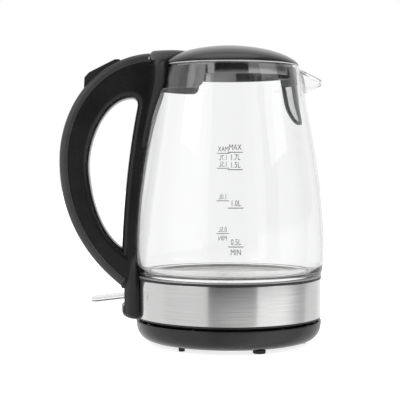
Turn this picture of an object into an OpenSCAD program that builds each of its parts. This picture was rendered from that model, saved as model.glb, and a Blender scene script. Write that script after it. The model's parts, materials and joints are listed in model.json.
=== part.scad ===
// Glass jug kettle on a round 360-degree power base.
// Z is up, the table is z = 0 and the jug's axis is X = Y = 0.
// The spout points to +X and the handle to -X.

/* [Power base] */
// Radius of the power base at its rim
base_r = 76; // [74:0.5:80]
// Height of the base's rim above the table
base_rim_z = 19.4; // [19:0.1:19.5]
// Height of the deck that the jug stands over
base_deck_z = 14; // [13:0.25:14]
// Wall thickness of the base shell
base_wall = 2.2; // [1.8:0.1:2.6]
// Height of the rubber feet
foot_h = 2.9; // [2.7:0.1:3.1]
// Radius of the circle that the feet stand on
foot_ring_r = 61; // [61:0.1:61.5]
// Radius of the round connector post
post_r = 13.5; // [13:0.1:13.5]
// Radius of the hole where the mains cord leaves
cord_hole_r = 3.2; // [2.8:0.1:3.3]

/* [Steel band] */
// Outer radius of the brushed steel band
band_r = 75.8; // [75.6:0.1:76]
// Lower edge of the band
band_z0 = 22.8; // [22.8:0.1:23.2]
// Upper edge of the band
band_z1 = 53.8; // [53.6:0.1:53.8]
// Sheet thickness of the band
band_t = 0.8; // [0.5:0.1:0.9]

/* [Glass jug] */
// Wall thickness of the glass
glass_wall = 2.5; // [2.2:0.1:2.8]
// Widest outer radius of the glass
glass_r_max = 78.1; // [77.5:0.1:78.5]
// Height where the glass is widest
glass_z_max = 76; // [70:1:80]
// Outer radius where the neck starts
neck_r = 62.2; // [62:0.1:62.5]
// Height where the neck starts
neck_z = 201; // [200:0.5:202]
// Outer radius of the glass rim
rim_r = 57.3; // [57.3:0.1:57.5]
// Height of the glass rim
rim_z = 226; // [225.8:0.1:226]
// How far the spout's tip reaches from the axis
spout_tip_x = 76; // [75:0.5:77]
// Height of the spout's centre line
spout_z = 214.5; // [214.25:0.25:215]

/* [Lid] */
// Radius of the domed lid
lid_r = 57; // [56.8:0.1:57]
// Height of the lid's lower edge
lid_z = 227; // [227:0.1:227.2]
// Height of the dome above its lower edge
dome_h = 16; // [15:0.2:17]
// Outer radius of the steel skirt under the lid
skirt_r = 52.6; // [52:0.1:52.6]
// Lower edge of the skirt
skirt_z = 217; // [216:0.5:219]

/* [Handle] */
// Width of the grip and of the strap along the glass
grip_w = 29; // [28:0.5:30]
// Depth of the outer cover measured in from the outer outline
cover_depth = 7; // [6.5:0.25:7]
// Width of the strap's foot over the band
foot_w = 42; // [40:1:44]
// Width of the collar round the neck
collar_w = 60; // [56:1:62]
// X of the lid's hinge pin
pin_x = -60; // [-60.2:0.1:-59.8]
// Height of the lid's hinge pin
pin_z = 233; // [232.9:0.1:233.1]
// Width of the lid release button
button_w = 19; // [16:0.5:19]

/* [Switch lever] */
// X of the lever's pivot
lever_x = -70; // [-70:0.1:-69.8]
// Height of the lever's pivot
lever_z = 40.5; // [40.3:0.1:40.7]
// How far the lever reaches out from its pivot
lever_len = 43; // [38:0.5:45]
// Width of the lever's paddle
lever_w = 20; // [18:0.5:20]
// Thickness of the paddle
lever_t = 4; // [3:0.1:4]
// Downward slope of the lever at rest
lever_slope = 6.4; // [5:0.1:7]

/* [Hidden] */
$fn = 72;

gap = 0.3;            // clearance between parts that move against each other
run = 0.05;           // radial clearance of a shaft in its bore
eps = 0.01;           // overshoot that keeps cuts clean
plastic_black = [0.13, 0.13, 0.14];
plastic_inner = [0.75, 0.75, 0.72];
steel = [0.78, 0.78, 0.8];
brass = [0.8, 0.65, 0.3];
silicone = [0.85, 0.85, 0.85];
clear = [0.85, 0.92, 0.95, 0.35];

under_z = foot_h;                      // underside of the base shell
plate_r = 55.4;                        // base bottom plate
base_screw_r = 48;                     // circle of the base screws
base_screw_a = 30;
foot_a = -71;                          // angle of the first large foot
cord_hole_z = 8.2;
wire_z = 9;
wire_pitch = 6;
post_top = 29.2;
groove_r = [7.6, 10.4];                // ring groove in the post, for the live and neutral contacts
groove_floor_z = 19;
pit_floor_z = 18;                      // floor of the pit round the earth pin
contact_t = 0.4;
tongue_r = [8.7, 9.3];                 // ring of the socket that dips into the groove
socket_r = 16;
socket_top = 32;
cover_floor_z = 16;                    // underside of the jug's bottom cover
pad_ring_r = 69;
lip_r = 75.3;
lip_z = [21.6, 22.7];
cover_slope = [[65, cover_floor_z], [67, 17], [lip_r, lip_z[0]]];   // underside, up to the lip
jug_screw_r = 58;
jug_screw_a = 90;
gasket_top = 56.3;
flange_r = 67.3;                       // inner edge of the glass's bottom flange
plate_z = 55.2;                        // heating plate's upper face
bead_z = 56.4;                         // raised bead round the plate's edge
bead_r = 65.8;
spreader_z = [51.8, 54.8];
element_r = 38;
stem_y = 20;                           // where the control's two bimetals sit
spout_root_x = 50;
spout_r = [15.1, 3.8];                 // outer radius of the spout at its root and at its tip
spout_bore = [12.9, 2];                // and of the channel in it
spout_cut = [56, 225.3];               // the spout's open top starts here
spout_cut_slope = 26.7;
lever_pin_r = 1.25;
lever_neck_y = 5.4;                    // half width of the lever's neck
led_r = 1.5;
slot_z = [33.2, 49.3];                 // slot for the lever and the steam switch
slot_w = 18;
top_screw_y = 10;
top_screw_z = 212;
foot_screw_y = 15;
foot_screw_z = 27;
collar_top = 229.9;                    // the collar widens upward round the neck
collar_back_r = 45.2;                  // the collar's back is a leaning cylinder
collar_back_x = -21;                   // its axis at the collar's top
collar_lean = 6.6;
collar_side = [[0.73, 190], [1, 212], [0.95, collar_top]];   // shares of the half width, and heights
collar_root_z = 165;
bracket_a = 67;                        // how far the rim bracket reaches either way round the neck
hinge_pin_r = 1.5;
knuckle_r = 5.1;
seat_r = 5.7;
ear_r = 3.6;
ear_room = 4;                          // radius of the room for the ear and the spring
lid_screw_r = 34;                      // circle of the lid's screws
disc_z = 228.2;                        // underside of the steel disc in the lid
skirt_t = 0.8;
ear_y = [-6, 2];
press = [0.6, 0, -0.8];                // direction in which the button is pressed
button_ends = [[-117.9, 208.2], [-88.2, 230.5]];   // where the button meets the cover's outline
button_chord = [0.8, 0.6];
button_gap = 0.4;
button_depth = 6.5;                    // how deep the button reaches below the outline
window_depth = 11.5;                   // of the button's window
latch_top = 227.4;
leg_x = [-91.8, -88];                  // cam leg under the button
tube_r = 2.5;
tube_bore_r = 1.7;
tube_arc_r = 660;                      // the steam tube is one long arc, upright at tube_low_z
tube_low_x = -82.7;
tube_low_z = 64;
tube_z = [49.3, 224.6];

// Points of a cubic Bezier curve, n segments
function bez(a, b, c, d, n) = [for (i = [0:n]) let (t = i / n, u = 1 - t)
    u*u*u*a + 3*u*u*t*b + 3*u*t*t*c + t*t*t*d];
// The same points without the first
function tail(p) = [for (i = [1:len(p) - 1]) p[i]];
function rev(p) = [for (i = [len(p) - 1:-1:0]) p[i]];
function unit(v) = v / norm(v);
// A path moved sideways by d, to the left of its direction
function beside(p, d) = [for (i = [0:len(p) - 1])
    let (t = unit(p[min(i + 1, len(p) - 1)] - p[max(i - 1, 0)])) p[i] + d * [-t[1], t[0]]];

// Outer outline of the glass, from the bottom corner to the rim
glass_outer = concat(
    bez([74.3, gasket_top], [75.4, gasket_top], [76.1, gasket_top + 0.8], [76.4, gasket_top + 2.4], 3),
    tail(bez([76.4, gasket_top + 2.4], [77.2, 63], [glass_r_max, 68], [glass_r_max, glass_z_max], 4)),
    tail(bez([glass_r_max, glass_z_max], [glass_r_max, 118], [70.6, 156.5], [neck_r, neck_z], 12)),
    tail(bez([neck_r, neck_z], [61.6, 208], [60.2, 216], [rim_r, rim_z], 5)));
glass_inner_low = 60;                  // the inner outline starts above the bottom flange
glass_inner = concat([[73.4, gasket_top + glass_wall]],
    [for (p = glass_outer) if (p[1] > glass_inner_low) [p[0] - glass_wall, p[1]]]);

// Handle outlines in the X-Z plane
outline_upper = bez([-66, 236], [-109, 232.2], [-137.8, 193.5], [-137.8, 149], 14);
outline_lower = bez([-137.8, 149], [-137.8, 111], [-122.6, 75.5], [-88.6, 48], 12);
outline = concat(outline_upper, tail(outline_lower));
seam = beside(outline, cover_depth);
collar_edge = [for (q = collar_side) [q[0] * collar_w / 2, q[1]]];
finger_gap = concat(
    bez([-79.5, 200], [-98.5, 200], [-114.3, 170], [-114.3, 145], 10),
    tail(bez([-114.3, 145], [-114.3, 134], [-110, 94], [-87.4, 78], 8)),
    tail(bez([-87.4, 78], [-86.1, 112], [-82.8, 152], [-74.9, 192], 8)),
    tail(bez([-74.9, 192], [-73.8, 197], [-75.5, 200], [-79.5, 200], 4)));

// Side view extruded along Y, centred, w wide
module across(w) rotate([90, 0, 0]) translate([0, 0, -w / 2]) linear_extrude(w) children();
// Side view extruded along Y from y0 to y1
module across_from(y0, y1) translate([0, y1, 0]) rotate([90, 0, 0]) linear_extrude(y1 - y0) children();
module block(x, y, z) translate([x[0], y[0], z[0]]) cube([x[1] - x[0], y[1] - y[0], z[1] - z[0]]);
module rod_y(x, z, r, y) translate([x, y[1], z]) rotate([90, 0, 0]) cylinder(r = r, h = y[1] - y[0]);
module rod_x(x, y, z, r) translate([x[0], y, z]) rotate([0, 90, 0]) cylinder(r = r, h = x[1] - x[0]);
module rod_z(x, y, z, r) translate([x, y, z[0]]) cylinder(r = r, h = z[1] - z[0]);
module ring(r0, r1, z0, z1) translate([0, 0, z0]) difference() {
    cylinder(r = r1, h = z1 - z0);
    translate([0, 0, -1]) cylinder(r = r0, h = z1 - z0 + 2);
}
module around(n, r, start) for (i = [0:n - 1])
    rotate([0, 0, start + i * 360 / n]) translate([r, 0, 0]) children();
// Pan-head screw, head down, shank up from z = 0
module screw(head_r, head_h, shank_r, shank_l) {
    translate([0, 0, -head_h]) difference() {
        cylinder(r = head_r, h = head_h);
        for (a = [0, 90]) rotate([0, 0, a]) translate([-head_r * 0.6, -0.4, -eps])
            cube([head_r * 1.2, 0.8, head_h / 2]);
    }
    cylinder(r = shank_r, h = shank_l);
}
// Hole and counterbore for a screw, from 1 below the surface
module screw_seat() {
    cylinder(r = 1.6, h = 4);
    cylinder(r = 3.2, h = 2);
}
// Round bar along the steam tube's arc, between the heights z0 and z1
module tube_arc(r, z0, z1)
    let (a0 = asin((z0 - tube_low_z) / tube_arc_r), a1 = asin((z1 - tube_low_z) / tube_arc_r))
        translate([tube_low_x + tube_arc_r, 0, tube_low_z]) rotate([90, 0, 0]) rotate([0, 0, 180 - a1])
            rotate_extrude(angle = a1 - a0, $fn = 720) translate([tube_arc_r, 0]) circle(r = r, $fn = 48);
// Round wire wound as a coil along Z
module coil(r, wire, turns, h) {
    n = 14 * turns;
    m = 6;
    pts = [for (i = [0:n]) for (k = [0:m - 1])
        let (a = 360 * turns * i / n, b = 360 * k / m, q = r + wire * cos(b))
            [q * cos(a), q * sin(a), h * i / n + wire * sin(b)]];
    sides = [for (i = [0:n - 1]) for (k = [0:m - 1]) for (s = [0, 1]) let (j = (k + 1) % m)
        s == 0 ? [i * m + k, i * m + j, (i + 1) * m + k] : [i * m + j, (i + 1) * m + j, (i + 1) * m + k]];
    ends = [for (k = [1:m - 2]) for (e = [[0, k + 1, k], [n * m, n * m + k, n * m + k + 1]]) e];
    polyhedron(points = pts, faces = [for (f = concat(sides, ends)) [f[0], f[2], f[1]]]);
}

// ---- power base ----
module base_top_shell() color(plastic_black) difference() {
    union() {
        rotate_extrude() polygon(concat(
            bez([62, under_z], [70.5, under_z], [base_r - 0.2, 8.5], [base_r, base_rim_z], 7),
            [[base_r - 2.4, base_rim_z], [base_r - 2.8, base_deck_z], [post_r + run, base_deck_z],
             [post_r + run, base_deck_z - 2]],
            bez([base_r - 3, base_deck_z - 2], [base_r - 3.6, 8.8],
                [68, under_z + base_wall], [61, under_z + base_wall], 5),
            [[plate_r + gap, under_z + base_wall], [plate_r + gap, under_z]]));
        around(3, base_screw_r, base_screw_a) difference() {
            rod_z(0, 0, [under_z + 2.1, base_deck_z - 1.9], 4);
            rod_z(0, 0, [under_z, 10.5], 1.3);
        }
    }
    rod_x([60, 90], 0, cord_hole_z, cord_hole_r);
}
module base_bottom_plate() color(plastic_black) difference() {
    translate([0, 0, under_z]) cylinder(r = plate_r, h = 2);
    around(3, base_screw_r, base_screw_a) translate([0, 0, under_z - 1]) screw_seat();
}
module base_feet_large() color("dimgray") around(3, foot_ring_r, foot_a) cylinder(r = 5, h = foot_h);
module base_feet_small() color("dimgray") around(3, foot_ring_r, foot_a + 60) cylinder(r = 2.5, h = foot_h);
module base_screws() color(steel) around(3, base_screw_r, base_screw_a)
    translate([0, 0, under_z + 1]) screw(2.8, 0.8, 1.25, 5.4);
module connector_post() color(plastic_black) difference() {
    union() {
        rod_z(0, 0, [base_deck_z - 6, post_top], post_r);
        ring(post_r - 1, post_r + 4, base_deck_z - 6, base_deck_z - 2.1);
    }
    ring(groove_r[0], groove_r[1], groove_floor_z, post_top + 1);
    rod_z(0, 0, [pit_floor_z, post_top + 1], 4);
}
module connector_pin() color(brass) rod_z(0, 0, [pit_floor_z, 27], 1.6);
module connector_rings() color(brass) {
    ring(groove_r[0], groove_r[0] + contact_t, groove_floor_z, 28);
    ring(groove_r[1] - contact_t, groove_r[1], groove_floor_z, 28);
}
module base_terminal_block() color(plastic_inner) difference() {
    block([34, 46], [-9, 9], [under_z + 2.2, base_deck_z - 2.1]);
    for (i = [-1, 0, 1]) rod_x([30, 50], i * wire_pitch, wire_z, 1.6);
}
module base_wires() for (i = [-1, 0, 1]) color(["saddlebrown", "green", "royalblue"][i + 1])
    rod_x([17.8, 45], i * wire_pitch, wire_z, 1.1);

// ---- socket ring that the jug turns round ----
module connector_socket() color(plastic_inner) {
    socket_roof_z = socket_top - 2.4;
    ring(post_r + gap, socket_r, base_deck_z + 0.4, socket_roof_z + eps);
    rod_z(0, 0, [socket_roof_z, socket_top], socket_r);
    ring(tongue_r[0], tongue_r[1], 20, socket_roof_z + eps);
    ring(2, 3.6, 20, socket_roof_z + eps);
}
module socket_contacts() color(brass) {
    ring(tongue_r[0] - 0.3, tongue_r[0], 21, 25);
    ring(tongue_r[1], tongue_r[1] + 0.3, 21, 25);
}

// ---- jug bottom ----
module jug_bottom_cover() color(plastic_black) difference() {
    rotate_extrude() polygon(concat([[socket_r + run, cover_floor_z]], cover_slope, [[lip_r, lip_z[1]],
        [74.5, lip_z[1]], [74.5, 24], [72.5, 24], [72.5, 21.6], [65.5, 19], [64, 18],
        [18, 18], [18, 30], [socket_r + run, 30]]));
    around(3, jug_screw_r, jug_screw_a) translate([0, 0, cover_floor_z - 1]) screw_seat();
}
module jug_pads() color("lightgray") difference() {
    around(6, pad_ring_r, -57) rod_z(0, 0, [base_deck_z + gap, lip_z[0]], 2);
    // trimmed to the slope of the cover's underside
    rotate_extrude() polygon(concat([[60, cover_floor_z]], cover_slope, [[lip_r, 30], [60, 30]]));
}
module bottom_screws() color(steel) around(3, jug_screw_r, jug_screw_a)
    translate([0, 0, cover_floor_z + 1]) screw(2.8, 0.9, 1.5, 12);
module lever_slot() block([-80, -66], [-slot_w / 2, slot_w / 2], slot_z);
module foot_screw_holes(r) for (s = [-1, 1]) rod_x([-90, -66], s * foot_screw_y, foot_screw_z, r);
module band_carrier() color(plastic_inner) difference() {
    union() {
        rotate_extrude() polygon([[72.6, 24.3], [74.7, 24.3], [74.7, 51], [73.3, 51], [73.3, band_z1],
            [66.8, band_z1], [66.8, 49.5], [72.6, 49.5]]);
        around(3, jug_screw_r, jug_screw_a) difference() {
            union() {
                rod_z(0, 0, [18.1, 49.6], 4);
                block([0, 9], [-1.5, 1.5], [26, 49.6]);
                block([0, 15.5], [-1.5, 1.5], [26, 49.6]);
            }
            rod_z(0, 0, [17, 30], 1.5);
        }
        for (s = [-1, 1]) intersection() {
            block([-80, -67], [s * foot_screw_y - 4, s * foot_screw_y + 4], [24.3, 31]);
            rod_z(0, 0, [24.3, 31], 74.7);
        }
    }
    lever_slot();
    foot_screw_holes(1.7);
}
module steel_band() color(steel) difference() {
    rotate_extrude() polygon([[band_r - band_t, band_z0], [band_r, band_z0], [band_r, band_z1],
        [73.5, band_z1], [73.5, band_z1 - band_t], [band_r - band_t, band_z1 - band_t]]);
    lever_slot();
    foot_screw_holes(1.7);
}
module glass_gasket() color(plastic_black) rotate_extrude() polygon([[66.8, band_z1], [75.7, band_z1],
    [76, band_z1 + 0.5], [76, gasket_top - 0.5], [75.7, gasket_top], [66.8, gasket_top]]);

// ---- glass ----
// Solid of the jug's inside, up past the rim
module glass_cavity() rotate_extrude() polygon(concat([[0, gasket_top - 1], [flange_r, gasket_top - 1],
    [flange_r, gasket_top + glass_wall]], glass_inner, [[rim_r - glass_wall, rim_z + 9], [0, rim_z + 9]]));
// Solid of the glass's outside, grown by g
module glass_outside(g) rotate_extrude() polygon(concat([[0, gasket_top], [flange_r, gasket_top]],
    [for (p = glass_outer) [p[0] + g, p[1]]], [[rim_r + g, rim_z], [0, rim_z]]));
// Cone along X, from radius r0 inside the neck to r1 at x1
module spout_cone(r0, r1, x1) translate([spout_root_x, 0, spout_z]) rotate([0, 90, 0])
    cylinder(r1 = r0, r2 = r1, h = x1 - spout_root_x);
module glass_body() color(clear) difference() {
    union() {
        glass_outside(0);
        spout_cone(spout_r[0], spout_r[1], spout_tip_x);
    }
    glass_cavity();
    spout_cone(spout_bore[0], spout_bore[1], spout_tip_x + 1);
    // the spout's open top
    translate([spout_cut[0], 0, spout_cut[1]]) rotate([0, spout_cut_slope, 0]) translate([-3, -20, 0])
        cube([40, 40, 20]);
    for (s = [-1, 1]) rod_x([-70, -45], s * top_screw_y, top_screw_z, 2);
}

// ---- heater ----
module heating_plate() color(steel) rotate_extrude() polygon([[0, spreader_z[1]], [0, plate_z + 0.8],
    [52.5, plate_z + 0.8], [53.5, plate_z], [62.8, plate_z], [64, bead_z], [bead_r, bead_z], [bead_r, 50],
    [bead_r - 0.8, 50], [bead_r - 0.8, plate_z - 0.8], [53, plate_z - 0.8], [52.2, spreader_z[1]]]);
module plate_seal() color(silicone) rotate_extrude() polygon([[bead_r, 50.5], [66.8, 50.5],
    [66.8, gasket_top], [flange_r, gasket_top], [flange_r, gasket_top + 1.8], [bead_r, bead_z + 0.6]]);
module heat_spreader() color("silver") rod_z(0, 0, spreader_z, 50);
module heating_element() color("gray") translate([0, 0, spreader_z[0] - 3.7]) rotate([0, 0, 215])
    rotate_extrude(angle = 290) translate([element_r, 0]) circle(r = 3.6);
module element_terminals() color(steel) for (a = [203, 157]) rotate([0, 0, a])
    block([element_r - 3.2, element_r + 3.2], [-0.4, 0.4], [40, 49]);
module control_unit() color(plastic_inner) difference() {
    union() {
        rod_z(0, 0, [socket_top + 0.4, 43], 22);
        for (s = [-1, 1]) rod_z(0, s * stem_y, [socket_top + 0.4, 50.8], 3.2);
        block([-59.7, -15], [-6, 6], [35, 42]);
    }
    rod_z(0, 0, [41, 45], 12);
}
module control_bimetals() color(brass) for (s = [-1, 1]) rod_z(0, s * stem_y, [50.9, 51.6], 6.5);
module steam_switch() color(plastic_inner) difference() {
    union() {
        for (s = [-1, 1]) block([-75, -60], s < 0 ? [-8.5, -6] : [6, 8.5], [34, 47.1]);
        block([-62, -60], [-8.5, 8.5], [34, 49]);
        block([-85, -60], [-8.5, 8.5], [47, 49]);
    }
    rod_y(lever_x, lever_z, lever_pin_r, [-10, 10]);
    rod_z(tube_low_x, 0, [46, 50], 1.4);
    rod_x([-63, -59], 0, lever_z, led_r);
}
module steam_bimetal() color(brass) rod_z(-69, 0, [46.3, 46.9], 5.2);
module lever_pin() color(steel) rod_y(lever_x, lever_z, lever_pin_r, [-8.5, 8.5]);
module indicator_led() color("lightblue") rod_x([-65.8, -59.8], 0, lever_z, led_r);
module lamp_wires() color("white") for (s = [-1, 1]) rod_x([-59.4, -24], s * 0.8, 43.2, 0.6);

// ---- handle ----
module steam_tube() color(silicone) difference() {
    tube_arc(tube_r, tube_z[0], tube_z[1]);
    tube_arc(tube_bore_r, tube_z[0] - 1, tube_z[1] + 1);
}
module outline_strip(from, to, first, last) polygon(concat(
    [for (i = [first:last]) beside(outline, from)[i]], [for (i = [last:-1:first]) beside(outline, to)[i]]));
// Window that the button slides in: its two ends run along the press direction
module button_window() let (low = button_ends[0] - button_gap * button_chord,
    high = button_ends[1] + button_gap * button_chord, down = [press[0], press[2]])
        across(button_w + 2 * button_gap) polygon([low - 12 * down, low + window_depth * down,
            high + window_depth * down, high - 12 * down]);
module tube_room() tube_arc(tube_r + 0.1, tube_z[0] - 1, collar_top + 2);
module seat_cut() rod_y(pin_x, pin_z, seat_r, [-15, 15]);
module handle_body() color(plastic_black) {
    difference() {
        union() {
            across(grip_w) polygon(concat([[-52, collar_top], [-65.6, collar_top]], seam, [[-87.1, 44],
                [-87.1, 26], [-85.6, 23.6], [-81, 21.7], [-74, 21.3], [-74, 54], [-50, 60]]));
            // collar that widens upward round the neck
            intersection() {
                translate([collar_back_x, 0, collar_top]) rotate([0, collar_lean, 0])
                    translate([0, 0, -80]) cylinder(r = collar_back_r, h = 100);
                along_x(-76, -40) polygon(concat([[grip_w / 2, collar_root_z]], collar_edge,
                    [for (q = rev(collar_edge)) [-q[0], q[1]]], [[-grip_w / 2, collar_root_z]]));
            }
            intersection() {
                rod_z(-58, 0, [21.6, 54.5], 30);
                block([-90, -70], [-foot_w / 2, foot_w / 2], [21.6, 54.5]);
            }
        }
        across(grip_w + 2) polygon(finger_gap);
        glass_outside(gap);
        rod_z(0, 0, [rim_z - 1, 245], lid_r + 0.8);
        rod_z(0, 0, [15, gasket_top], 76.3);
        // hollow of the grip, behind the cover
        across(grip_w - 5) outline_strip(cover_depth - 1, 18.5, 4, 23);
        button_window();
        // room for the latch
        block([-96.5, -65.9], [4.4, 12], [205.4, 229.8]);
        seat_cut();
        tube_room();
        // the cover lies here
        across(grip_w) outline_strip(-2, cover_depth, 0, len(outline) - 1);
        // recess and slot of the switch lever
        block([-89, -85.6], [-15, 15], [31.8, 46]);
        block([-89, -75], [-10.6, 10.6], [slot_z[0], 46]);
        block([-85.3, -75], [-8.8, 8.8], [45.5, slot_z[1]]);
        for (s = [-1, 1]) {
            rod_x([-83, -70], s * foot_screw_y, foot_screw_z, 1.4);
            rod_x([-65.6, -50], s * top_screw_y, top_screw_z, 1.5);
        }
    }
    // the ear that holds the hinge pin
    difference() {
        union() {
            rod_y(pin_x, pin_z, ear_r, ear_y);
            block([-60.9, -57.9], ear_y, [226.4, pin_z]);
        }
        rod_y(pin_x, pin_z, hinge_pin_r, [-7, 7]);
    }
}
module handle_cover() color(plastic_black) difference() {
    across(grip_w) outline_strip(0, cover_depth, 0, len(outline) - 1);
    across(grip_w - 5) outline_strip(2.4, cover_depth + 2, 2, len(outline) - 3);
    button_window();
    seat_cut();
    tube_room();
}
module handle_screws() color(steel) {
    for (s = [-1, 1]) {
        translate([-56.2, s * top_screw_y, top_screw_z]) rotate([0, -90, 0]) screw(3, 1.2, 1.5, 9);
        translate([-66.9, s * foot_screw_y, foot_screw_z]) rotate([0, -90, 0]) screw(2.8, 1.2, 1.4, 15);
    }
}
module rim_bracket() color(steel) difference() {
    rotate([0, 0, 180 - bracket_a]) rotate_extrude(angle = 2 * bracket_a) polygon([[58.9, 206.5],
        [58.2, 211], [57.2, 216], [54.8, 224], [54, 224], [56.4, 216], [57.4, 211], [58.1, 206.5]]);
    for (s = [-1, 1]) {
        rod_x([-70, -45], s * top_screw_y, top_screw_z, 1.6);
        rod_x([-56.4, -40], s * top_screw_y, top_screw_z, 3.2);
    }
}

// ---- lid ----
module hinge_pin() color(steel) rod_y(pin_x, pin_z, hinge_pin_r, [-13, 13]);
module lid_spring() color(steel) translate([pin_x, ear_y[1] + 0.9, pin_z]) rotate([-90, 0, 0])
    coil(2.6, 0.5, 2.5, 2.6);
// Half section of a dome of radius r and height h, a little flatter than an ellipse
module dome(r, h) polygon(concat([[0, lid_z]],
    [for (a = [90:-7.5:0]) [r * sin(a), lid_z + h * pow(cos(a), 1.32)]]));
module lid_cover() color(plastic_black) difference() {
    union() {
        difference() {
            rotate_extrude() dome(lid_r, dome_h);
            rotate_extrude() dome(lid_r - 2.2, dome_h - 2.2);
        }
        intersection() {
            around(3, lid_screw_r, 60) rod_z(0, 0, [229.2, 245], 3.5);
            rotate_extrude() dome(lid_r - 1, dome_h - 1);
        }
    }
    around(3, lid_screw_r, 60) rod_z(0, 0, [228, 236], 1.3);
}
module hinge_cover() color(plastic_black) difference() {
    union() {
        across(28) polygon([[pin_x, pin_z - 2.4], [-50, 230.6], [-40, 236], [-40, 238.9], [-50, 238.5],
            [pin_x, pin_z + knuckle_r]]);
        rod_y(pin_x, pin_z, knuckle_r, [-14, 14]);
    }
    rotate_extrude() dome(lid_r, dome_h);
    block([-70, -55.5], [ear_y[0] - gap, 6.3], [220, pin_z]);
    rod_y(pin_x, pin_z, ear_room, [ear_y[0] - gap, 6.3]);
    rod_y(pin_x, pin_z, hinge_pin_r + run, [-13.2, 13.2]);
}
module lid_skirt() color(steel) {
    ring(skirt_r - skirt_t, skirt_r, skirt_z, disc_z + skirt_t);
    difference() {
        rod_z(0, 0, [disc_z, disc_z + skirt_t], skirt_r - skirt_t / 2);
        around(3, lid_screw_r, 60) rod_z(0, 0, [disc_z - 1, disc_z + 2], 1.6);
    }
}
module lid_seal() color(silicone) rotate_extrude() polygon([[skirt_r, 226.3], [56.4, 226.3], [56.4, 226.9],
    [54.3, 226.9], [54.3, 227.5], [skirt_r, 227.5]]);
module lid_screws() color(steel) around(3, lid_screw_r, 60) translate([0, 0, disc_z])
    screw(3, 1.2, 1.3, 6.5);

// ---- lid release ----
// Height of the latch's ramp, along which the button's cam leg slides
function ramp(x) = 208.8 - 4 / 7 * (x + 84);
module lid_button() color(plastic_black) {
    across(button_w) polygon([button_ends[0], [-117.5, 216.6], [-113.8, 220.7], [-94.7, 230.5],
        [-92.4, 231.4], [-89.5, 231.4], button_ends[1],
        for (e = [button_ends[1], button_ends[0]]) e + button_depth * [press[0], press[2]]]);
    // cam leg over the latch's ramp
    across_from(5, 9) polygon([for (x = leg_x) [x, ramp(x) + 0.4], [leg_x[1], 224], [leg_x[0], 221]]);
}
module lid_latch() color("whitesmoke") difference() {
    across_from(5, 11.5) polygon([[-92, 206], [-66.6, 206], [-66.6, latch_top], [-71, latch_top],
        [-71, ramp(-84)], for (x = [-84, -92]) [x, ramp(x)]]);
    block([-100, -71.5], [9, 13], [200, 220]);
}
module button_spring() color(steel) translate([-99, -1, 212.9]) rotate([0, atan2(press[0], press[2]), 0])
    coil(2.6, 0.5, 4, 6);

// ---- switch lever ----
module switch_lever() color(clear) difference() {
    translate([lever_x, 0, lever_z]) rotate([0, -lever_slope, 0]) {
        translate([0, 0, -lever_t / 2]) linear_extrude(lever_t) {
            translate([-lever_len + 12, -lever_w / 2]) square([lever_len - 26.6, lever_w]);
            // rounded outer end
            intersection() {
                translate([-lever_len + 14, 0]) circle(r = 14);
                translate([-lever_len - 1, -lever_w / 2]) square([16, lever_w]);
            }
            // neck that runs in between the cheeks
            translate([-lever_len + 14, -lever_neck_y]) square([lever_len - 14, 2 * lever_neck_y]);
        }
        rod_y(0, 0, 3.4, [-lever_neck_y, lever_neck_y]);
    }
    rod_y(lever_x, lever_z, lever_pin_r + run, [-12, 12]);
}

// ---- spout filter ----
// Tongue of half width w at its top, nearly straight down to the waist and round below it
module filter_tongue(w, top, bottom) let (waist = 200,
    side = bez([w - 1.5, waist], [w - 1.5, waist - 10], [w * 0.64, bottom], [0, bottom], 6))
        along_x(40, 70) polygon(concat([[w, top]], side, [for (q = rev(side)) [-q[0], q[1]]], [[-w, top]]));
module along_x(x0, x1) translate([x0, 0, 0]) rotate([90, 0, 90]) linear_extrude(x1 - x0) children();
// Cone shell that follows the inside of the neck, let in by inset and t thick
module filter_shell(inset, t) rotate_extrude() polygon([for (q = [[60.2 - t, 177], [60.2, 177],
    [54.8, 224], [54.8 - t, 224]]) [q[0] - inset, q[1]]]);
module filter_window() filter_tongue(24.8, 211, 180.8);
module filter_frame() color("gray") intersection() {
    filter_shell(0, 1.5);
    difference() {
        filter_tongue(27, 223.6, 178.6);
        filter_window();
    }
}
module filter_mesh() color("gainsboro") intersection() {
    filter_shell(0.5, 0.5);
    filter_window();
}

base_top_shell();
base_bottom_plate();
base_feet_large();
base_feet_small();
base_screws();
connector_post();
connector_pin();
connector_rings();
base_terminal_block();
base_wires();
connector_socket();
socket_contacts();
jug_bottom_cover();
jug_pads();
bottom_screws();
band_carrier();
steel_band();
glass_gasket();
glass_body();
heating_plate();
plate_seal();
heat_spreader();
heating_element();
element_terminals();
control_unit();
control_bimetals();
steam_switch();
steam_bimetal();
lever_pin();
indicator_led();
lamp_wires();
steam_tube();
handle_body();
handle_cover();
handle_screws();
rim_bracket();
hinge_pin();
lid_spring();
button_spring();
lid_cover();
hinge_cover();
lid_skirt();
lid_seal();
lid_screws();
lid_button();
lid_latch();
switch_lever();
filter_frame();
filter_mesh();
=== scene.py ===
import json
import math

import bmesh
import bpy
from mathutils import Matrix, Vector


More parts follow.
